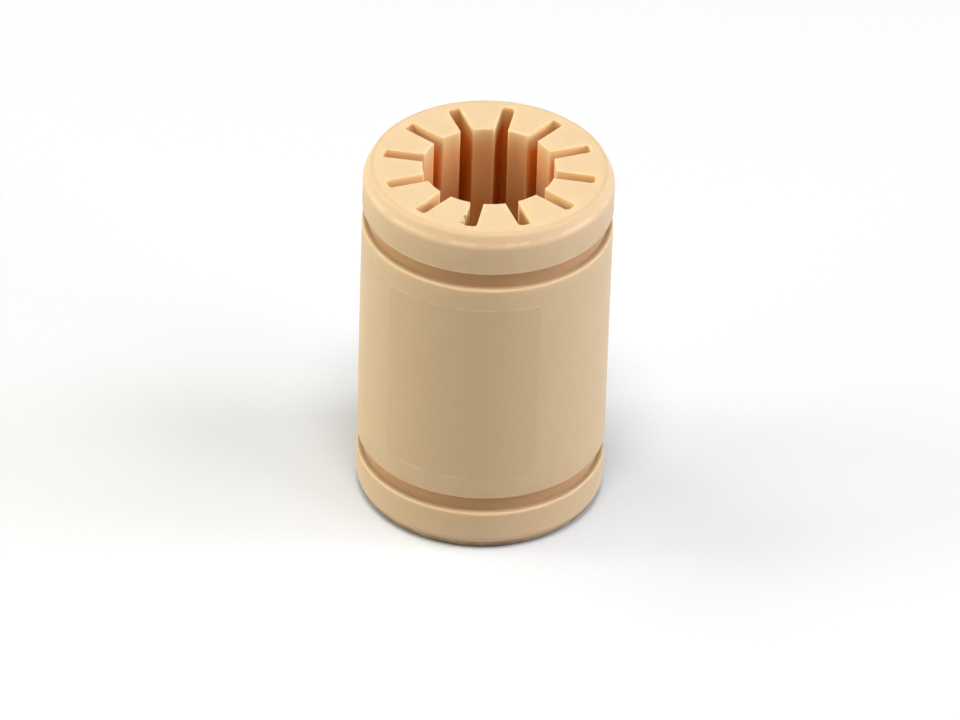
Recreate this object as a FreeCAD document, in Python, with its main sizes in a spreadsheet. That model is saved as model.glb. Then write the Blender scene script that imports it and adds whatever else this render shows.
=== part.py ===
import FreeCAD, Part
import math
import os
import Sketcher

# Linear bearing moulded in one piece from a dry-running polymer.
# The barrel seats in a round housing, and a retaining ring in each of its two grooves holds it there.
# Inside, a ring of lands carries the shaft, and the slots between the lands run the whole length.
# The bush stands on its lower end face. It is drawn with one slot along X and then turned,
# so that this slot and the panel over it face -Y.

node = "slotted_bush"

# Driving sizes in millimetres and degrees
sizes = {
    "shaft_diameter": 10.0,
    "shaft_clearance": 0.05,
    "outer_diameter": 19.0,
    "bush_length": 29.0,
    "chamfer_width": 0.45,
    "chamfer_height": 1.05,
    "shoulder_radius": 0.4,
    "chamfer_foot_radius": 0.15,
    "mouth_break": 0.1,
    "ring_setback": 3.5,
    "ring_width": 1.35,
    "ring_depth": 0.5,
    "ring_lip_break": 0.25,
    "slot_count": 12,
    "slot_width": 1.0,
    "slot_back_wall": 1.4,
    "slot_root_radius": 0.3,
    "land_edge_radius": 0.15,
    "panel_margin": 1.9,
    "panel_left_angle": 39.5,
    "panel_right_angle": 35.8,
    "panel_depth": 0.04,
    "cut_overshoot": 0.5,
}

full_turn = 360
slot_facing = -90

# Places worked out from the sizes
bore_radius = "(dims.shaft_diameter + dims.shaft_clearance) / 2"
mouth_radius = f"{bore_radius} + dims.mouth_break"
outer_radius = "dims.outer_diameter / 2"
end_face_radius = f"{outer_radius} - dims.chamfer_width"
ring_lip_radius = f"{outer_radius} - dims.ring_lip_break"
ring_floor_radius = f"{outer_radius} - dims.ring_depth"
ring_inner_flank = "dims.ring_setback + dims.ring_width"
slot_root = f"{outer_radius} - dims.slot_back_wall"
panel_end = f"{ring_inner_flank} + dims.panel_margin"
panel_floor_radius = f"{outer_radius} - dims.panel_depth"
clear_radius = f"{outer_radius} + dims.cut_overshoot"

# How a sketch numbers the start, end and middle of its curves, its own origin and its X axis
start = 1
end = 2
middle = 3
origin = (-1, 1)
x_axis = -1

doc = FreeCAD.newDocument("linear_bearing")
dims = doc.addObject("Spreadsheet::Sheet", "dims")
workings = doc.addObject("Spreadsheet::Sheet", "workings")


def fill_sheet():
    for row, (name, value) in enumerate(sizes.items(), 1):
        dims.set(f"A{row}", name)
        dims.set(f"B{row}", str(value))
        dims.setAlias(f"B{row}", name)
    doc.recompute()


def worked(formula):
    # The number that a formula comes to, so that a sketch starts close to its answer.
    workings.set("A1", f"={formula}")
    doc.recompute()
    return float(workings.get("A1"))


def from_far_end(height):
    return f"dims.bush_length - ({height})"


def own_origin(body, role):
    return next(item for item in body.Origin.OriginFeatures if item.Role == role)


def new_sketch(body, name, plane):
    sketch = body.newObject("Sketcher::SketchObject", name)
    sketch.AttachmentSupport = [(own_origin(body, plane), "")]
    sketch.MapMode = "FlatFace"
    return sketch


def constrain(sketch, *rule):
    return sketch.addConstraint(Sketcher.Constraint(*rule))


def dimension(sketch, name, formula, *rule):
    number = constrain(sketch, *rule, worked(formula))
    sketch.renameConstraint(number, name)
    sketch.setExpression(f"Constraints.{name}", formula)


def corner_arc(before, corner, after, radius):
    # The arc that rounds a corner, as its two ends and the point halfway between them.
    back = (before - corner).normalize()
    ahead = (after - corner).normalize()
    half_angle = back.getAngle(ahead) / 2
    reach = radius / math.tan(half_angle)
    inward = (back + ahead).normalize()
    halfway = corner + inward * (radius / math.sin(half_angle) - radius)
    return corner + back * reach, halfway, corner + ahead * reach


def draw_outline(sketch, corners):
    # A closed outline of straight lines. Each corner has an X and a Y formula and may have a radius.
    points = [FreeCAD.Vector(worked(x), worked(y)) for x, y, radius in corners]
    count = len(corners)
    ways_in = list(points)
    ways_out = list(points)
    arcs = {}
    for number, (x, y, radius) in enumerate(corners):
        if radius:
            neighbours = points[number - 1], points[number], points[(number + 1) % count]
            ways_in[number], halfway, ways_out[number] = corner_arc(*neighbours, worked(radius))
            arcs[number] = Part.Arc(ways_in[number], halfway, ways_out[number])
    for number in range(count):
        sketch.addGeometry(Part.LineSegment(ways_out[number], ways_in[(number + 1) % count]))
    for number, (x, y, radius) in enumerate(corners):
        line_in = (number - 1) % count
        line_out = number
        if radius:
            arc = sketch.addGeometry(arcs[number])
            arc_start = sketch.getPoint(arc, start)
            to_way_in = arc_start.distanceToPoint(ways_in[number])
            to_way_out = arc_start.distanceToPoint(ways_out[number])
            first, last = (start, end) if to_way_in < to_way_out else (end, start)
            constrain(sketch, "Tangent", line_in, end, arc, first)
            constrain(sketch, "Tangent", arc, last, line_out, start)
            dimension(sketch, f"radius_{number}", radius, "Radius", arc)
            corner = (sketch.addGeometry(Part.Point(points[number]), True), start)
            constrain(sketch, "PointOnObject", *corner, line_in)
            constrain(sketch, "PointOnObject", *corner, line_out)
        else:
            corner = (line_out, start)
            constrain(sketch, "Coincident", line_in, end, *corner)
        dimension(sketch, f"across_{number}", x, "DistanceX", *origin, *corner)
        dimension(sketch, f"up_{number}", y, "DistanceY", *origin, *corner)


def make_barrel(body):
    # The wall's section, turned about the shaft's axis, with a round-shouldered chamfer at each end,
    # a square ring groove with broken lips, and a broken edge where the shaft enters the bore.
    # The lower half is listed, and the upper half mirrors it.
    lower_half = [
        (bore_radius, "dims.mouth_break", None),
        (mouth_radius, "0", None),
        (end_face_radius, "0", "dims.shoulder_radius"),
        (outer_radius, "dims.chamfer_height", "dims.chamfer_foot_radius"),
        (outer_radius, "dims.ring_setback - dims.ring_lip_break", None),
        (ring_lip_radius, "dims.ring_setback", None),
        (ring_floor_radius, "dims.ring_setback", None),
        (ring_floor_radius, ring_inner_flank, None),
        (ring_lip_radius, ring_inner_flank, None),
        (outer_radius, f"{ring_inner_flank} + dims.ring_lip_break", None),
    ]
    upper_half = [(x, from_far_end(y), radius) for x, y, radius in reversed(lower_half)]
    section = new_sketch(body, "wall_section", "XZ_Plane")
    draw_outline(section, lower_half + upper_half)
    barrel = body.newObject("PartDesign::Revolution", "barrel")
    barrel.Profile = section
    barrel.ReferenceAxis = (own_origin(body, "Z_Axis"), [""])
    barrel.Angle = full_turn
    doc.recompute()


def draw_slot(body):
    # One slot along X. Its flat root has rounded corners, and its mouth flares into the lands' round edges.
    sketch = new_sketch(body, "slot_section", "XY_Plane")
    half_width = worked("dims.slot_width / 2")
    root = worked(slot_root)
    corner = worked("dims.slot_root_radius")
    edge = worked("dims.land_edge_radius")
    land = worked(bore_radius)
    corner_x = root - corner
    corner_y = half_width - corner
    edge_y = half_width + edge
    edge_x = math.sqrt((land + edge) ** 2 - edge_y ** 2)
    lean = math.atan2(edge_y, edge_x)
    mouth_x = land * math.cos(lean)
    mouth_y = land * math.sin(lean)

    def add_line(x1, y1, x2, y2):
        return sketch.addGeometry(Part.LineSegment(FreeCAD.Vector(x1, y1), FreeCAD.Vector(x2, y2)))

    def add_arc(x, y, radius, first, last):
        circle = Part.Circle(FreeCAD.Vector(x, y), FreeCAD.Vector(0, 0, 1), radius)
        return sketch.addGeometry(Part.ArcOfCircle(circle, first, last))

    upper_wall = add_line(edge_x, half_width, corner_x, half_width)
    upper_corner = add_arc(corner_x, corner_y, corner, 0, math.pi / 2)
    root_line = add_line(root, corner_y, root, -corner_y)
    lower_corner = add_arc(corner_x, -corner_y, corner, -math.pi / 2, 0)
    lower_wall = add_line(corner_x, -half_width, edge_x, -half_width)
    lower_edge = add_arc(edge_x, -edge_y, edge, math.pi / 2, math.pi - lean)
    mouth_line = add_line(mouth_x, -mouth_y, mouth_x, mouth_y)
    upper_edge = add_arc(edge_x, edge_y, edge, math.pi + lean, 3 * math.pi / 2)
    land_circle = Part.Circle(FreeCAD.Vector(), FreeCAD.Vector(0, 0, 1), land)
    land_circle = sketch.addGeometry(land_circle, True)

    constrain(sketch, "Tangent", upper_wall, end, upper_corner, end)
    constrain(sketch, "Tangent", upper_corner, start, root_line, start)
    constrain(sketch, "Tangent", root_line, end, lower_corner, end)
    constrain(sketch, "Tangent", lower_corner, start, lower_wall, start)
    constrain(sketch, "Tangent", lower_wall, end, lower_edge, start)
    constrain(sketch, "Coincident", lower_edge, end, mouth_line, start)
    constrain(sketch, "Coincident", mouth_line, end, upper_edge, start)
    constrain(sketch, "Tangent", upper_edge, end, upper_wall, start)
    constrain(sketch, "Coincident", land_circle, middle, *origin)
    constrain(sketch, "Tangent", upper_edge, start, land_circle)
    constrain(sketch, "Tangent", lower_edge, end, land_circle)
    constrain(sketch, "Horizontal", upper_wall)
    constrain(sketch, "Horizontal", lower_wall)
    constrain(sketch, "Symmetric", upper_wall, end, lower_wall, start, x_axis)
    constrain(sketch, "Equal", upper_corner, lower_corner)
    constrain(sketch, "Equal", upper_edge, lower_edge)

    dimension(sketch, "width", "dims.slot_width", "DistanceY", lower_wall, start, upper_wall, end)
    dimension(sketch, "root", slot_root, "DistanceX", *origin, root_line, start)
    dimension(sketch, "corner_radius", "dims.slot_root_radius", "Radius", upper_corner)
    dimension(sketch, "edge_radius", "dims.land_edge_radius", "Radius", upper_edge)
    dimension(sketch, "land_radius", bore_radius, "Radius", land_circle)
    return sketch


def make_slots(body):
    # One slot through the whole length, repeated round the bore, which leaves the lands standing
    slot = body.newObject("PartDesign::Pocket", "slot")
    slot.Profile = draw_slot(body)
    slot.Type = "ThroughAll"
    slot.Reversed = True
    doc.recompute()
    slots = body.newObject("PartDesign::PolarPattern", "slots")
    slots.Originals = [slot]
    slots.Axis = (own_origin(body, "Z_Axis"), [""])
    slots.Angle = full_turn
    slots.setExpression("Occurrences", "dims.slot_count")
    body.Tip = slots
    doc.recompute()


def make_panel(body):
    # The shallow bare field that a mould insert leaves on the barrel between the grooves
    section = new_sketch(body, "panel_section", "XZ_Plane")
    sides = [
        (panel_floor_radius, panel_end, None),
        (clear_radius, panel_end, None),
        (clear_radius, from_far_end(panel_end), None),
        (panel_floor_radius, from_far_end(panel_end), None),
    ]
    draw_outline(section, sides)
    panel = body.newObject("PartDesign::Groove", "insert_panel")
    panel.Profile = section
    panel.ReferenceAxis = (own_origin(body, "Z_Axis"), [""])
    panel.Type = "TwoAngles"
    panel.setExpression("Angle", "dims.panel_right_angle")
    panel.setExpression("Angle2", "dims.panel_left_angle")
    doc.recompute()


def make_bush():
    body = doc.addObject("PartDesign::Body", node)
    body.Label = node
    make_barrel(body)
    make_slots(body)
    make_panel(body)
    facing = FreeCAD.Rotation(FreeCAD.Vector(0, 0, 1), slot_facing)
    body.Placement = FreeCAD.Placement(FreeCAD.Vector(), facing)
    doc.recompute()
    return body


def check(body):
    # Nothing may have failed, every step after the first takes material away, and one solid is left.
    for item in doc.Objects:
        if "Invalid" in item.State or "Error" in item.State:
            raise RuntimeError(f"{item.Name} failed: {item.State}")
    steps = [item for item in body.Group if item.isDerivedFrom("PartDesign::Feature")]
    for before, after in zip(steps, steps[1:]):
        if after.Shape.Volume >= before.Shape.Volume:
            raise RuntimeError(f"{after.Name} cut nothing")
    if body.Shape.isNull() or not body.Shape.isValid() or len(body.Shape.Solids) != 1:
        raise RuntimeError(f"{body.Label} is not one sound solid")


fill_sheet()
bush = make_bush()
check(bush)
os.makedirs("parts", exist_ok=True)
bush.Shape.exportStep(f"parts/{bush.Label}.step")
print(bush.Label, "volume", round(bush.Shape.Volume, 2), "box", bush.Shape.optimalBoundingBox())
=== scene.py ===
import bmesh
import bpy
import math
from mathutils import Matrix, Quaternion, Vector


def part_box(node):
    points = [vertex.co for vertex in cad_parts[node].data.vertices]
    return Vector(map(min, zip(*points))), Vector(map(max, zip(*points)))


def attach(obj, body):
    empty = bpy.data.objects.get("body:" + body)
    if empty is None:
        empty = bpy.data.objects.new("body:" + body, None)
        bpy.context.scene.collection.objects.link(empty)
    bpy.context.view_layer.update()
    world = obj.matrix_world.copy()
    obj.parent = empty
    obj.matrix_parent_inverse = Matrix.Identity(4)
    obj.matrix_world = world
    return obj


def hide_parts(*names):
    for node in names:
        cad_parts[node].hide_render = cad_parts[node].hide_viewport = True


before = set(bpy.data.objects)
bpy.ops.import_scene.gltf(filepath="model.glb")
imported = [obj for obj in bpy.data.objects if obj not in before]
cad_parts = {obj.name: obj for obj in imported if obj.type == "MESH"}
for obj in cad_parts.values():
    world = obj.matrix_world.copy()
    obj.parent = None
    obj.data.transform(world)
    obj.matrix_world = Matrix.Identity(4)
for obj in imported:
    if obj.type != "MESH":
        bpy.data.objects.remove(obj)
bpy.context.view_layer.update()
print("frame loaded:", sorted(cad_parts))

mm = 0.001                   # metres


# Picking by place, in edit mode

slack = {
    "place": 1e-3,           # millimetres off a plane that still count as on it
    "turn": 0.1,             # the same in degrees
    "lean": 0.1,             # the same for a normal that is level or upright
}


def middleOf(part):
    return sum((vert.co for vert in part.verts), Vector()) / len(part.verts)


def angleOf(point):
    return math.degrees(math.atan2(point.y, point.x))


def pick(kind, test):
    bpy.ops.mesh.select_mode(type=kind)
    bpy.ops.mesh.select_all(action="DESELECT")
    mesh = bpy.context.object.data
    work = bmesh.from_edit_mesh(mesh)
    parts = {"VERT": work.verts, "EDGE": work.edges, "FACE": work.faces}[kind]
    count = 0
    for part in parts:
        if test(part):
            part.select_set(True)
            count += 1
    bmesh.update_edit_mesh(mesh)
    return count


def cut(point, normal, test, **clear):
    pick("FACE", lambda face: test(middleOf(face)))
    bpy.ops.mesh.bisect(plane_co=point, plane_no=normal, **clear)


def applyModifier(kind, **settings):
    piece = bpy.context.object
    modifier = piece.modifiers.new(kind.lower(), kind)
    for name, value in settings.items():
        setattr(modifier, name, value)
    bpy.ops.object.modifier_apply(modifier=modifier.name)


# The bush, modelled in millimetres about the middle of its length

bushLow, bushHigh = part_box("slotted_bush")
bush = {
    "length": round((bushHigh.z - bushLow.z) / mm, 2),
    "outerRadius": round((bushHigh.x - bushLow.x) / 2 / mm, 2),
    "landRadius": 5.025,
    "mouthRounding": 0.12,
    "chamferWidth": 0.5,
    "chamferHeight": 1.05,
    "hollowWidth": 0.27,     # where the chamfer turns a little flatter
    "hollowHeight": 0.68,
    "shoulderRounding": 0.5,
    "chamferRounding": 0.8,
    "grooveSetback": 3.5,
    "grooveWidth": 1.35,
    "grooveDepth": 0.5,
    "lipRounding": 0.2,
    "grooveCornerRounding": 0.14,
    "slotCount": 12,
    "slotWidth": 1.0,
    "slotRoot": 8.1,
    "rootRounding": 0.3,
    "rootTurns": (45, 22.5, 67.5),   # degrees, the flats round a corner of the root
    "landRounding": 0.15,
    "landParts": (0.5, 0.25, 0.75),  # of its sweep, the flats round an edge of a land
    "landMargin": 0.5,       # degrees past that sweep that its cuts reach
    "slotEdgeRounding": 0.1,
    "cornerRounding": 0.03,  # the sharp edges that are left
    "sharpFrom": 50,         # degrees between faces
    "smoothUpTo": 40,
    "mergeWithin": 0.0005,
    "plainRim": 8.4,         # where the end face stops being cut by slots
    "stepsRound": 144,
    "stepsPerRounding": 4,
}


def roundedSection(corners):
    # A corner with a rounding becomes a short run of stations on its arc
    steps = bush["stepsPerRounding"]
    stations = []
    for number, (radius, height, rounding) in enumerate(corners):
        corner = Vector((radius, height))
        if not rounding:
            stations.append(corner)
            continue
        back = (Vector(corners[number - 1][:2]) - corner).normalized()
        ahead = (Vector(corners[number + 1][:2]) - corner).normalized()
        half = back.angle(ahead) / 2
        centre = corner + (back + ahead).normalized() * rounding / math.sin(half)
        first = corner + back * rounding / math.tan(half) - centre
        last = corner + ahead * rounding / math.tan(half) - centre
        for step in range(steps + 1):
            stations.append(centre + first.slerp(last, step / steps).normalized() * rounding)
    return stations


def startHalfPitch():
    # An arc at the mouth of the bore, from the middle of a slot to the middle of a land, run outwards
    # over the end face, down the chamfer and in and out of the ring groove to the middle of the length
    top = bush["length"] / 2
    grooveTop = top - bush["grooveSetback"]
    grooveBottom = grooveTop - bush["grooveWidth"]
    outer = bush["outerRadius"]
    shoulder = outer - bush["chamferWidth"]
    floor = outer - bush["grooveDepth"]
    stations = roundedSection([
        (bush["landRadius"], 0, 0),
        (bush["landRadius"], top, bush["mouthRounding"]),
        (bush["plainRim"], top, 0),
        (shoulder, top, bush["shoulderRounding"]),
        (shoulder + bush["hollowWidth"], top - bush["hollowHeight"], 0),
        (outer, top - bush["chamferHeight"], bush["chamferRounding"]),
        (outer, grooveTop, bush["lipRounding"]),
        (floor, grooveTop, bush["grooveCornerRounding"]),
        (floor, grooveBottom, bush["grooveCornerRounding"]),
        (outer, grooveBottom, bush["lipRounding"]),
        (outer, panel["frameHalfHigh"], 0),
        (outer, 0, 0),
    ])[1:]
    bpy.ops.object.select_all(action="DESELECT")
    bpy.ops.mesh.primitive_circle_add(vertices=bush["stepsRound"], radius=stations[0].x,
                                      location=(0, 0, 0), enter_editmode=True)
    piece = bpy.context.object
    bpy.ops.transform.translate(value=(0, 0, stations[0].y))
    halfPitch = 180 / bush["slotCount"]
    pick("VERT", lambda vert: not -slack["turn"] < angleOf(vert.co) < halfPitch + slack["turn"])
    bpy.ops.mesh.delete(type="VERT")
    bpy.ops.mesh.select_all(action="SELECT")
    for before, after in zip(stations, stations[1:]):
        grow = after.x / before.x
        bpy.ops.mesh.extrude_edges_move(TRANSFORM_OT_translate={"value": (0, 0, after.y - before.y)})
        bpy.ops.transform.resize(value=(grow, grow, 1), center_override=(0, 0, 0))
    return piece


def cutSlot():
    # Half a slot out of the end face: wall, flat root, and flats that follow the two rounded corners
    top = bush["length"] / 2
    wall = bush["slotWidth"] / 2
    root = bush["slotRoot"]

    def onEnd(point):
        return point.z > top - bush["mouthRounding"] and point.xy.length < bush["plainRim"]

    def within(point, flats):
        return onEnd(point) and all((point - place).dot(normal) < 0 for place, normal in flats)

    flats = [(Vector((0, wall, 0)), Vector((0, 1, 0))), (Vector((root, 0, 0)), Vector((1, 0, 0)))]
    rounding = bush["rootRounding"]
    for turn in bush["rootTurns"]:
        normal = Vector((math.cos(math.radians(turn)), math.sin(math.radians(turn)), 0))
        flats.append((Vector((root - rounding, wall - rounding, 0)) + normal * rounding, normal))
    for number, (place, normal) in enumerate(flats):
        cut(place, normal, lambda point: within(point, flats[:number]))
    pick("FACE", lambda face: within(middleOf(face), flats))
    bpy.ops.mesh.delete(type="FACE")

    # The end face between slots becomes one flat, with no stray points along the wall
    pick("FACE", lambda face: onEnd(middleOf(face)) and abs(middleOf(face).z - top) < slack["place"])
    bpy.ops.mesh.dissolve_faces()
    mouth = bush["landRadius"] + bush["mouthRounding"]
    pick("VERT", lambda vert: abs(vert.co.y - wall) < slack["place"] and mouth < vert.co.x < root - rounding)
    bpy.ops.mesh.dissolve_verts()

    rounding = bush["landRounding"]
    reach = bush["landRadius"] + rounding
    lean = math.asin((wall + rounding) / reach)
    centre = Vector((reach * math.cos(lean), wall + rounding, 0))
    sweep = math.pi / 2 - lean
    nearCorner = math.degrees(lean) + bush["landMargin"]
    for part in bush["landParts"]:
        turn = -math.pi / 2 - sweep * part
        normal = Vector((math.cos(turn), math.sin(turn), 0))
        cut(centre + normal * rounding, normal,
            lambda point: onEnd(point) and angleOf(point) < nearCorner, clear_outer=True)


def dropWalls():
    # The edge round the slot and along the land, run down to the middle of the length
    top = bush["length"] / 2
    halfPitch = 180 / bush["slotCount"]

    def onMouth(edge):
        point = middleOf(edge)
        onSide = abs(point.y) < slack["place"] or abs(angleOf(point) - halfPitch) < slack["turn"]
        return edge.is_boundary and not onSide and point.z > top - 2 * bush["mouthRounding"]

    pick("EDGE", onMouth)
    bpy.ops.mesh.extrude_edges_move(TRANSFORM_OT_translate={"value": (0, 0, -top)})
    bpy.ops.transform.resize(value=(1, 1, 0), center_override=(0, 0, 0))


def roundSlotEdge():
    # The edge between the end face and the walls that drop from it
    top = bush["length"] / 2

    def onEdge(edge):
        level = sorted(abs(face.normal.z) for face in edge.link_faces)
        flat = all(abs(vert.co.z - top) < slack["place"] for vert in edge.verts)
        return flat and len(level) == 2 and level[0] < slack["lean"] and level[1] > 1 - slack["lean"]

    count = pick("EDGE", onEdge)
    bpy.ops.mesh.bevel(offset=bush["slotEdgeRounding"], segments=bush["stepsPerRounding"], affect="EDGES")
    print("slot edge rounded:", count, "edges")


def copyRound():
    # Mirrored to one whole pitch of the full length, which then goes round
    bpy.ops.object.mode_set(mode="OBJECT")
    applyModifier("MIRROR", use_axis=(False, True, True), use_clip=True, merge_threshold=slack["place"])
    bpy.ops.object.mode_set(mode="EDIT")
    bpy.ops.mesh.select_all(action="SELECT")
    pitch = 2 * math.pi / bush["slotCount"]
    copies = bush["slotCount"] - 1
    bpy.ops.mesh.spin(dupli=True, steps=copies, angle=pitch * copies, center=(0, 0, 0), axis=(0, 0, 1))
    bpy.ops.mesh.select_all(action="SELECT")
    bpy.ops.mesh.remove_doubles(threshold=slack["place"])
    pick("EDGE", lambda edge: all(abs(vert.co.z) < slack["place"] for vert in edge.verts))
    bpy.ops.mesh.dissolve_edges(use_verts=True)
    bpy.ops.mesh.select_all(action="SELECT")
    bpy.ops.mesh.normals_make_consistent(inside=False)
    bpy.ops.object.mode_set(mode="OBJECT")


# The bare field that a mould insert leaves on the barrel, with its fine raised outline

panel = {
    "halfHigh": 7.75,
    "leftAngle": -129.5,
    "rightAngle": -54.2,
    "cornerRounding": 0.35,
    "leadIn": 0.4,           # a shallow dip that keeps the outline below the barrel's seat
    "leadInDepth": 0.007,
    "lineSlope": 0.08,
    "lineTop": 0.04,
    "depth": 0.016,
    "frameHalfHigh": 8.75,   # the part of the barrel that the panel is let into
    "frameLeft": -135,
    "frameRight": -47.5,
    "frameDepth": 0.05,
}


def panelSpan():
    # The middle of the field, in radians, and half its width on the unrolled barrel
    middle = math.radians(panel["leftAngle"] + panel["rightAngle"]) / 2
    halfWide = math.radians(panel["rightAngle"] - panel["leftAngle"]) / 2 * bush["outerRadius"]
    return middle, halfWide


def drawPanel():
    # Drawn flat and then wrapped on the barrel
    outer = bush["outerRadius"]
    steps = bush["stepsPerRounding"]
    grow = panel["leadIn"] + panel["lineSlope"] + panel["lineTop"] / 2
    middle, halfWide = panelSpan()
    halfHigh = panel["halfHigh"] + grow
    columns = round((panel["frameRight"] - panel["frameLeft"]) / 360 * bush["stepsRound"])
    bpy.ops.object.select_all(action="DESELECT")
    bpy.ops.mesh.primitive_plane_add(size=2, location=(0, 0, 0), enter_editmode=True)
    piece = bpy.context.object
    bpy.ops.transform.resize(value=(halfWide + grow, halfHigh, 1), center_override=(0, 0, 0))
    bpy.ops.mesh.bevel(offset=panel["cornerRounding"] + grow, segments=steps, affect="VERTICES")
    pick("EDGE", lambda edge: abs(abs(middleOf(edge).y) - halfHigh) < slack["place"])
    bpy.ops.mesh.subdivide(number_cuts=columns - 1 - 2 * steps)
    bpy.ops.mesh.select_mode(type="FACE")
    bpy.ops.mesh.select_all(action="SELECT")
    bpy.ops.mesh.inset(thickness=panel["leadIn"], depth=-panel["leadInDepth"])
    bpy.ops.mesh.inset(thickness=panel["lineSlope"], depth=panel["leadInDepth"])
    bpy.ops.mesh.inset(thickness=panel["lineTop"], depth=0)
    bpy.ops.mesh.inset(thickness=panel["lineSlope"], depth=-panel["depth"])
    for vert in bmesh.from_edit_mesh(piece.data).verts:
        turn = middle + vert.co.x / outer
        radius = outer + vert.co.z
        vert.co = Vector((radius * math.cos(turn), radius * math.sin(turn), vert.co.y))
    bpy.ops.object.mode_set(mode="OBJECT")
    print("panel drawn:", len(piece.data.polygons), "faces", len(piece.data.vertices), "verts")
    return piece


def letInPanel(barrel):
    drawn = drawPanel()
    bpy.ops.object.select_all(action="DESELECT")
    bpy.context.view_layer.objects.active = barrel
    barrel.select_set(True)
    bpy.ops.object.mode_set(mode="EDIT")

    def inFrame(point):
        onBarrel = point.xy.length > bush["outerRadius"] - panel["frameDepth"]
        between = panel["frameLeft"] < angleOf(point) < panel["frameRight"]
        return onBarrel and between and abs(point.z) < panel["frameHalfHigh"]

    pick("FACE", lambda face: inFrame(middleOf(face)))
    bpy.ops.mesh.delete(type="FACE")
    bpy.ops.object.mode_set(mode="OBJECT")
    drawn.select_set(True)
    bpy.ops.object.join()
    bpy.ops.object.mode_set(mode="EDIT")
    pick("EDGE", lambda edge: edge.is_boundary)
    bpy.ops.mesh.bridge_edge_loops()
    bpy.ops.mesh.select_all(action="SELECT")
    bpy.ops.mesh.normals_make_consistent(inside=False)


def finishBush():
    bpy.ops.object.mode_set(mode="OBJECT")
    applyModifier("BEVEL", width=bush["cornerRounding"], segments=2, limit_method="ANGLE",
                  angle_limit=math.radians(bush["sharpFrom"]), offset_type="OFFSET",
                  miter_outer="MITER_SHARP")
    bpy.ops.object.mode_set(mode="EDIT")
    bpy.ops.mesh.select_all(action="SELECT")
    bpy.ops.mesh.remove_doubles(threshold=bush["mergeWithin"])
    bpy.ops.mesh.normals_make_consistent(inside=False)
    bpy.ops.transform.translate(value=(0, 0, bush["length"] / 2))
    bpy.ops.transform.resize(value=(mm, mm, mm), center_override=(0, 0, 0))
    bpy.ops.object.mode_set(mode="OBJECT")
    bpy.ops.object.shade_smooth_by_angle(angle=math.radians(bush["smoothUpTo"]))
    applyModifier("WEIGHTED_NORMAL", mode="FACE_AREA", weight=100, keep_sharp=True)


def makeBush():
    piece = startHalfPitch()
    piece.name = piece.data.name = "slottedBush"
    cutSlot()
    dropWalls()
    roundSlotEdge()
    copyRound()
    letInPanel(piece)
    finishBush()
    print("bush modelled:", len(piece.data.polygons), "faces")
    return piece


bushPiece = makeBush()
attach(bushPiece, "root")
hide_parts("slotted_bush")


# Shader maths as expressions

class Wire:
    # One socket. Maths on wires adds the Math nodes that work it out
    def __init__(self, tree, socket=None):
        self.tree = tree
        self.socket = socket

    def node(self, kind, settings, sockets, out=0):
        made = self.tree.nodes.new(kind)
        for name, value in settings.items():
            setattr(made, name, value)
        for name, value in sockets.items():
            if isinstance(value, Wire):
                self.tree.links.new(value.socket, made.inputs[name])
            else:
                made.inputs[name].default_value = value
        return Wire(self.tree, None if out is None else made.outputs[out])

    def beside(self, out):
        return Wire(self.tree, self.socket.node.outputs[out])

    def math(self, operation, first, second=0.0):
        return self.node("ShaderNodeMath", {"operation": operation}, {0: first, 1: second})

    def __add__(self, other):
        return self.math("ADD", self, other)

    def __radd__(self, other):
        return self.math("ADD", other, self)

    def __sub__(self, other):
        return self.math("SUBTRACT", self, other)

    def __rsub__(self, other):
        return self.math("SUBTRACT", other, self)

    def __mul__(self, other):
        return self.math("MULTIPLY", self, other)

    def __rmul__(self, other):
        return self.math("MULTIPLY", other, self)

    def __pow__(self, other):
        return self.math("POWER", self, other)

    def __abs__(self):
        return self.math("ABSOLUTE", self)

    def above(self, floor):
        return self.math("MAXIMUM", self, floor)

    def below(self, ceiling):
        return self.math("MINIMUM", self, ceiling)

    def step(self, low, high):
        # Smoothly from 0 at low to 1 at high
        return self.node("ShaderNodeMapRange", {"interpolation_type": "SMOOTHSTEP"},
                         {"Value": self, "From Min": low, "From Max": high})


def newFinish(name):
    finish = bpy.data.materials.new(name)
    finish.use_nodes = True
    finish.node_tree.nodes.clear()
    return finish, Wire(finish.node_tree)


def mixColour(factor, first, second):
    # Sockets 6 and 7, and 2 on the way out, are the Mix node's colours
    return factor.node("ShaderNodeMix", {"data_type": "RGBA"}, {0: factor, 6: first, 7: second}, out=2)


# The bearing's matt tan polymer, with the fine grain of its mould

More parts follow.
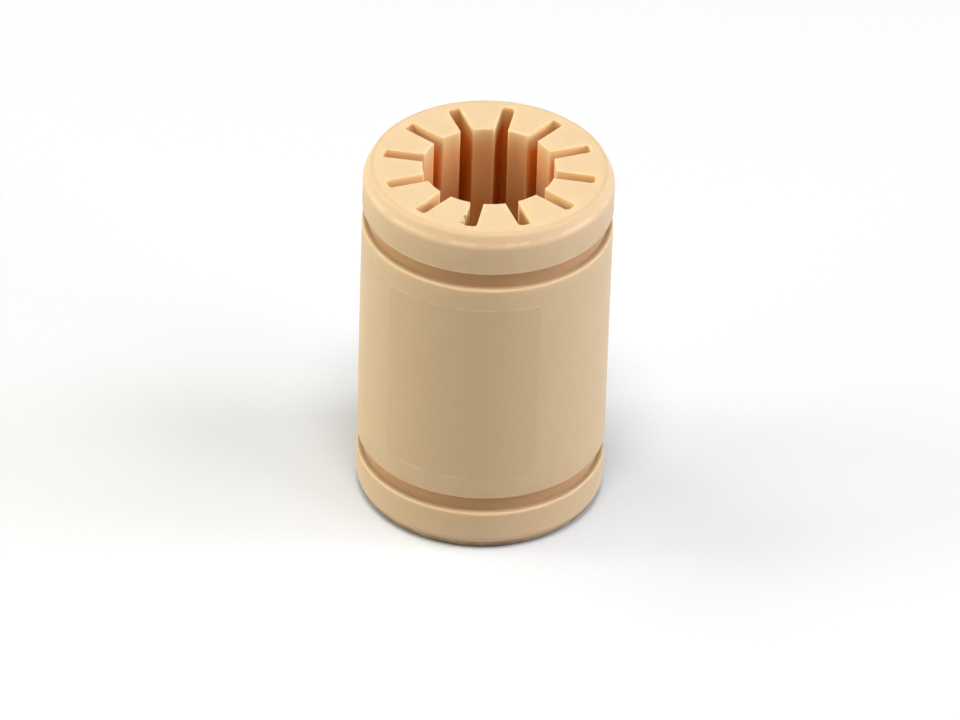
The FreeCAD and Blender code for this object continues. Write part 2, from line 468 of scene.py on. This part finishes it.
polymer = {
    "colour": (0.422, 0.312, 0.184, 1),
    "paleColour": (0.438, 0.324, 0.194, 1),
    "panelColour": (0.41, 0.303, 0.179, 1),
    "panelShare": 0.5,
    "lineHighlightColour": (0.467, 0.361, 0.234, 1),      # painted highlight along the panel's raised outline
    "glowColour": (0.455, 0.331, 0.199, 1),      # light from the end face shows through beside it
    "footHighlightColour": (0.505, 0.378, 0.233, 1),      # painted highlight along the foot of the chamfer
    "rimShadeColour": (0.378, 0.277, 0.164, 1),       # painted shade along the outer edge of the end face
    "ledgeShadeColour": (0.352, 0.247, 0.139, 1),     # painted shade on the steps of the ring grooves
    "grooveShadeColour": (0.415, 0.238, 0.108, 1),    # painted shade on their floors
    "landColour": (0.6, 0.475, 0.26, 1),         # light scattered through the wall lights the bore and slots
    "midLandColour": (0.61, 0.3, 0.118, 1),
    "deepLandColour": (0.52, 0.2, 0.056, 1),
    "slotColour": (0.626, 0.464, 0.232, 1),
    "deepSlotColour": (0.67, 0.184, 0.012, 1),
    "dirtAndShadeColour": (0.13, 0.055, 0.01, 1),
    "roughness": 0.55,
    "grainRoughness": 0.16,  # what grain, panel and dirt add to it
    "panelRoughness": 0.05,
    "dirtRoughness": 0.3,
    "gloss": 0.25,
    "grainSize": 0.16,       # millimetres, as all sizes here
    "speckSize": 0.4,
    "cloudSize": 1.6,
    "mottle": (0.3, 0.4, 0.3),                   # shares of cloud, speck and grain
    "grainHeight": 0.004,
    "panelGrain": 0.5,       # how much coarser the grain is on the panel
    "dirtSink": 10,          # how far dirt lies in a nick, in grain heights
    "scatterDepth": (1.15, 0.85, 0.7),
    "lineMiddle": 0.03,      # outside the field's edge
    "footMiddle": 0.85,      # below the end face
    "grimeAndShadeLeast": 0.35,      # dirt and painted contact shade on the edge that stands on the ground, and what it gains in patches
    "grimeAndShadeGain": 0.4,
    "bands": {               # each tone goes from none to all, or from all to none, between two values
        "barrelRadius": (9.2, 9.3),
        "fieldEdge": (-0.06, 0.0),
        "lineHalfWidth": (0.02, 0.1),
        "lineEnds": (-0.2, 0.2),
        "linePatches": (0.42, 0.58),
        "insideRadius": (8.15, 8.35),
        "insideDepth": (0.02, 0.15),
        "slotRadius": (5.2, 5.6),
        "slotDepth": (0.1, 2.2),
        "landDepth": (-0.4, 2.0),
        "deepLandDepth": (3.8, 7.5),
        "ringRadius": (8.6, 8.7),
        "ringDepth": (2.8, 3.2),
        "grooveRadius": (9.02, 9.12),
        "ledgeRadius": (9.34, 9.5),
        "glowRadius": (8.6, 8.9),
        "glowStart": (0.2, 0.5),
        "glowEnd": (1.0, 3.3),
        "footRadius": (9.15, 9.25),
        "footHalfWidth": (0.05, 0.2),
        "footPatches": (0.35, 0.6),
        "rimRadius": (8.6, 8.8),
        "rimDepth": (0.03, 0.22),
        "grimeAndShadeRadius": (8.4, 8.8),
        "grimeAndShadeHeight": (0.3, 1.0),
        "grimeAndShadePatches": (0.35, 0.65),
        "mottleRange": (0.38, 0.62),
    },
    "markCore": 0.4,         # the part of a mark's reach that is dark all over
    "markRagged": 2,         # how far the grain breaks up its edge, in reaches
    "marks": [               # dirt in a nick on the edge of a slot, and at the slot's end
        {"place": (-0.47, -7.0, 28.93), "reach": 0.26, "strength": 0.95},
        {"place": (-0.5, -6.2, 28.45), "reach": 0.12, "strength": 0.5},
        {"place": (-0.52, -7.45, 28.95), "reach": 0.16, "strength": 0.4},
        {"place": (-0.62, -7.75, 28.98), "reach": 0.16, "strength": 0.7},
        {"place": (-0.5, -7.85, 28.8), "reach": 0.34, "strength": 0.85},
        {"place": (-0.36, -8.05, 28.75), "reach": 0.34, "strength": 0.85},
        {"place": (0.25, -8.35, 29.0), "reach": 0.1, "strength": 0.35},
    ],
}


def band(value, name):
    return value.step(*polymer["bands"][name])


def panelEdge(across, along, up):
    # Distance to the outline of the bare field on the unrolled barrel, less than 0 inside it,
    # and how far a point is above the foot of the field's upper corners, or below that of the lower ones
    middle, halfWide = panelSpan()
    rounding = panel["cornerRounding"]
    turn = across.math("ARCTAN2", along, across)
    aside = abs((turn - middle) * bush["outerRadius"]) - (halfWide - rounding)
    above = abs(up - bush["length"] / 2) - (panel["halfHigh"] - rounding)
    corner = (aside.above(0) ** 2 + above.above(0) ** 2) ** 0.5
    return corner + aside.above(above).below(0) - rounding, above


def dirtMarks(inMm, grain):
    darkening = None
    for mark in polymer["marks"]:
        reach = mark["reach"]
        away = inMm.node("ShaderNodeVectorMath", {"operation": "DISTANCE"},
                         {0: inMm, 1: mark["place"]}, out="Value")
        ragged = away + (grain - 0.5) * reach * polymer["markRagged"]
        spot = (1 - ragged.step(reach * polymer["markCore"], reach)) * mark["strength"]
        darkening = spot if darkening is None else darkening.above(spot)
    return darkening


def polymerFinish():
    finish, wire = newFinish("bearingPolymer")
    place = wire.node("ShaderNodeTexCoord", {}, {}, out="Object")
    inMm = wire.node("ShaderNodeVectorMath", {"operation": "SCALE"}, {0: place, "Scale": 1 / mm})
    across = wire.node("ShaderNodeSeparateXYZ", {}, {0: inMm})
    along = across.beside(1)
    up = across.beside(2)
    noise = {"Vector": inMm, "Detail": 2.0, "Roughness": 0.6}
    grain, speck, cloud = (wire.node("ShaderNodeTexNoise", {}, {**noise, "Scale": 1 / polymer[size]})
                           for size in ("grainSize", "speckSize", "cloudSize"))

    # Where each tone lies, by radius, depth from the nearer end, and the panel's outline
    radius = (across * across + along * along) ** 0.5
    depth = up.below(bush["length"] - up)
    edge, above = panelEdge(across, along, up)
    onBarrel = band(radius, "barrelRadius")
    field = (1 - band(edge, "fieldEdge")) * onBarrel
    # Painted highlight along the panel's raised outline, on its upper and lower edges and corners, in
    # patches
    outline = (1 - band(abs(edge - polymer["lineMiddle"]), "lineHalfWidth")) * onBarrel
    outline = outline * band(above, "lineEnds") * band(cloud, "linePatches")
    inside = (1 - band(radius, "insideRadius")) * band(depth, "insideDepth")
    inRing = band(radius, "ringRadius") * band(depth, "ringDepth")
    # Painted shade in the ring grooves, on their floors and on their steps
    groove = (1 - band(radius, "grooveRadius")) * inRing
    ledge = (1 - band(radius, "ledgeRadius")) * inRing
    glow = band(radius, "glowRadius") * band(depth, "glowStart") * (1 - band(depth, "glowEnd"))
    # Painted highlight along the foot of the chamfer, in patches
    foot = (1 - band(abs(depth - polymer["footMiddle"]), "footHalfWidth")) * band(radius, "footRadius")
    foot = foot * band(cloud, "footPatches")
    # Painted shade along the outer edge of the end face, where it turns down to the chamfer
    rim = band(radius, "rimRadius") * (1 - band(depth, "rimDepth"))
    # Dirt, with painted contact shade, along the bottom edge where it stands on the ground
    grimeAndShade = (1 - band(up, "grimeAndShadeHeight")) * band(radius, "grimeAndShadeRadius")
    grimeAndShade = grimeAndShade * (polymer["grimeAndShadeLeast"] + band(cloud, "grimeAndShadePatches") * polymer["grimeAndShadeGain"])
    darkening = dirtMarks(inMm, grain).above(grimeAndShade)

    cloudShare, speckShare, grainShare = polymer["mottle"]
    mottle = band(cloud * cloudShare + speck * speckShare + grain * grainShare, "mottleRange")
    tone = mixColour(mottle, polymer["colour"], polymer["paleColour"])
    layers = [
        (field * polymer["panelShare"], "panelColour"),
        (outline, "lineHighlightColour"),
        (glow, "glowColour"),
        (foot, "footHighlightColour"),
        (rim, "rimShadeColour"),
        (ledge, "ledgeShadeColour"),
        (groove, "grooveShadeColour"),
    ]
    for mask, colour in layers:
        tone = mixColour(mask, tone, polymer[colour])
    # Painted light and shade in the bore and slots: paler near the mouth, darker and redder deeper down
    land = mixColour(band(depth, "landDepth"), polymer["landColour"], polymer["midLandColour"])
    land = mixColour(band(depth, "deepLandDepth"), land, polymer["deepLandColour"])
    wall = mixColour(band(depth, "slotDepth"), polymer["slotColour"], polymer["deepSlotColour"])
    tone = mixColour(inside, tone, mixColour(band(radius, "slotRadius"), land, wall))
    # Dirt marks, and the bottom edge's dirt with painted contact shade
    tone = mixColour(darkening, tone, polymer["dirtAndShadeColour"])

    rough = polymer["roughness"] + (grain - 0.5) * polymer["grainRoughness"]
    rough = rough + field * polymer["panelRoughness"] + darkening * polymer["dirtRoughness"]
    bump = wire.node("ShaderNodeBump", {}, {
        "Strength": 1.0,
        "Distance": polymer["grainHeight"] * mm,
        "Height": grain * (1 + field * polymer["panelGrain"]) - darkening * polymer["dirtSink"],
    })
    skin = wire.node("ShaderNodeBsdfPrincipled", {}, {
        "Base Color": tone,
        "Roughness": rough,
        "Normal": bump,
        "Subsurface Weight": 1.0,
        "Subsurface Radius": polymer["scatterDepth"],
        "Subsurface Scale": mm,
        "IOR": 1.5,
        "Specular IOR Level": polymer["gloss"],
    })
    wire.node("ShaderNodeOutputMaterial", {}, {"Surface": skin}, out=None)
    print("finish made:", finish.name)
    return finish


bushPiece.data.materials.append(polymerFinish())


# The ground

ground = {
    "halfSize": 3.0,         # metres
    "colour": (0.458, 0.458, 0.458, 1),
    "shadeColour": (0.45, 0.45, 0.45, 1),
    "fibreSize": 0.4,        # millimetres
    "fibreHeight": 0.004,
    "fibreRange": (0.3, 0.7),
    "roughness": 0.9,
    "gloss": 0.1,
}


def paperFinish():
    finish, wire = newFinish("palePaper")
    place = wire.node("ShaderNodeTexCoord", {}, {}, out="Object")
    fibre = wire.node("ShaderNodeTexNoise", {},
                      {"Vector": place, "Scale": 1 / mm / ground["fibreSize"], "Detail": 3.0})
    tone = mixColour(fibre.step(*ground["fibreRange"]), ground["shadeColour"], ground["colour"])
    bump = wire.node("ShaderNodeBump", {},
                     {"Strength": 1.0, "Distance": ground["fibreHeight"] * mm, "Height": fibre})
    sheet = wire.node("ShaderNodeBsdfPrincipled", {}, {
        "Base Color": tone,
        "Roughness": ground["roughness"],
        "Normal": bump,
        "Specular IOR Level": ground["gloss"],
    })
    wire.node("ShaderNodeOutputMaterial", {}, {"Surface": sheet}, out=None)
    print("finish made:", finish.name)
    return finish


bpy.ops.object.select_all(action="DESELECT")
bpy.ops.mesh.primitive_plane_add(size=2 * ground["halfSize"], location=(0, 0, 0))
floorPiece = bpy.context.object
floorPiece.name = "ground"
floorPiece.data.materials.append(paperFinish())


# The photograph's view

view = {
    "lens": 365.52,
    "sensor": 36,
    "clip": (0.01, 20),
    "distance": 0.7414,
    "azimuth": 9.41,
    "elevation": 35.309,
    "roll": 1.889,
    "aim": (0, 0, 0.0145),
    "aimRight": 4.10,        # where the aim shows, in pixels from the middle of the frame
    "aimUp": 36.55,
    "frameWidth": 960,
}
scene = bpy.context.scene
scene.view_settings.view_transform = "Standard"


def wayTo(turn, lift):
    # Out from the bearing, in degrees. Turn 0 is its front and 90 its right
    turn, lift = math.radians(turn), math.radians(lift)
    return Vector((math.sin(turn) * math.cos(lift), -math.cos(turn) * math.cos(lift), math.sin(lift)))


def setCamera():
    data = bpy.data.cameras.new("photoView")
    camera = bpy.data.objects.new("photoView", data)
    scene.collection.objects.link(camera)
    data.lens = view["lens"]
    data.sensor_width = view["sensor"]
    data.clip_start, data.clip_end = view["clip"]
    back = wayTo(view["azimuth"], view["elevation"])
    facing = back.to_track_quat("Z", "Y") @ Quaternion((0, 0, 1), math.radians(view["roll"]))
    perPixel = view["distance"] * data.sensor_width / data.lens / view["frameWidth"]
    aside = facing @ Vector((view["aimRight"] * perPixel, view["aimUp"] * perPixel, 0))
    camera.rotation_mode = "QUATERNION"
    camera.rotation_quaternion = facing
    camera.location = Vector(view["aim"]) + back * view["distance"] - aside
    scene.camera = camera


setCamera()
print("camera set")


# Soft lamps all round, aimed at the bearing, and no other light

studio = {
    "worldStrength": 0.0,
    "lampSize": 0.3,         # metres
    "lampDistance": 0.75,
    "lamps": [               # turned from the camera's side, 90 is its right
        {"name": "over", "turn": 0, "lift": 90, "power": 1.0, "colour": (0.99, 0.995, 0.99)},
        {"name": "frontHigh", "turn": 0, "lift": 72, "power": 5.35, "colour": (0.995, 0.995, 0.98)},
        {"name": "rightFrontLow", "turn": 60, "lift": 22, "power": 1.6, "colour": (1.01, 0.965, 1.03)},
        {"name": "rightFront", "turn": 60, "lift": 54, "power": 1.07, "colour": (0.985, 0.99, 1.025)},
        {"name": "rightLow", "turn": 90, "lift": 22, "power": 3.34, "colour": (0.92, 0.965, 1.12)},
        {"name": "rightHigh", "turn": 90, "lift": 54, "power": 0.98, "colour": (0.97, 0.995, 1.035)},
        {"name": "leftBackLow", "turn": 240, "lift": 22, "power": 0.62, "colour": (1.0, 1.0, 1.0)},
        {"name": "leftBackHigh", "turn": 240, "lift": 54, "power": 1.47, "colour": (0.985, 1.005, 1.0)},
        {"name": "leftLow", "turn": 270, "lift": 22, "power": 3.38, "colour": (1.055, 1.035, 0.91)},
        {"name": "leftHigh", "turn": 270, "lift": 54, "power": 0.18, "colour": (1.0, 1.0, 1.0)},
        {"name": "leftFrontLow", "turn": 300, "lift": 22, "power": 1.25, "colour": (1.07, 1.005, 0.92)},
        {"name": "leftFrontHigh", "turn": 300, "lift": 72, "power": 0.4, "colour": (1.0, 1.0, 1.0)},
    ],
}
scene.world = bpy.data.worlds.new("studio")
scene.world.use_nodes = True
scene.world.node_tree.nodes["Background"].inputs["Strength"].default_value = studio["worldStrength"]
for lamp in studio["lamps"]:
    light = bpy.data.lights.new(lamp["name"], "AREA")
    light.shape = "DISK"
    light.size = studio["lampSize"]
    light.energy = lamp["power"]
    light.color = lamp["colour"]
    way = wayTo(lamp["turn"] + view["azimuth"], lamp["lift"])
    holder = bpy.data.objects.new(lamp["name"], light)
    scene.collection.objects.link(holder)
    holder.location = Vector(view["aim"]) + way * studio["lampDistance"]
    holder.rotation_euler = way.to_track_quat("Z", "Y").to_euler()
print("light set:", len(studio["lamps"]), "lamps")
